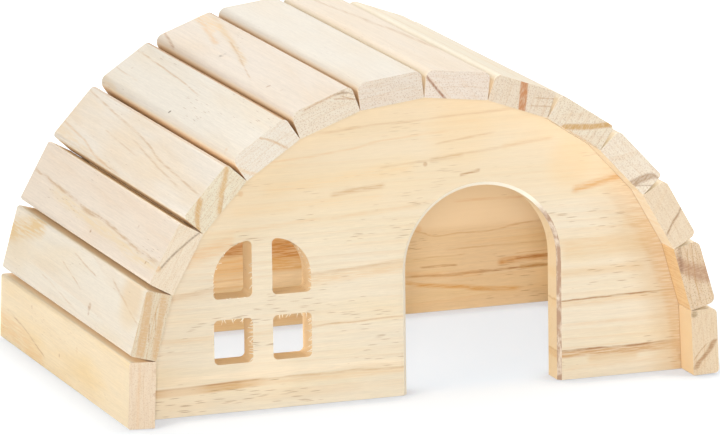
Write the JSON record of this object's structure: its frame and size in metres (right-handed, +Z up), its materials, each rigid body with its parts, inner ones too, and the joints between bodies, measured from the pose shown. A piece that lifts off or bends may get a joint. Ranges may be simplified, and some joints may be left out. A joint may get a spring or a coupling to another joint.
{
  "type": "hamster house",
  "caption": "Half-round pine hide for a small pet: flat slats glued over a front board with an arched doorway and a small window, and a plain back board; open underneath.",
  "frame": {"origin": "on the floor, under the middle of the house's box", "axes": "+X to the door's side of the front, along the longest side; -Y out of the front; +Z up"},
  "size_m": [0.2488, 0.172, 0.1334],
  "materials": {
    "board_pine": "sanded bare pine, edge-glued boards with level grain",
    "slat_pine": "planed bare pine strips with rounded edges, grain along the strip"
  },
  "bodies": {
    "root": {"front_panel": "board_pine", "back_panel": "board_pine", "slat_01": "slat_pine", "slat_02": "slat_pine", "slat_03": "slat_pine", "slat_04": "slat_pine", "slat_05": "slat_pine", "slat_06": "slat_pine", "slat_07": "slat_pine", "slat_08": "slat_pine", "slat_09": "slat_pine", "slat_10": "slat_pine", "slat_11": "slat_pine", "slat_12": "slat_pine", "slat_13": "slat_pine", "slat_14": "slat_pine"}
  },
  "joints": []
}
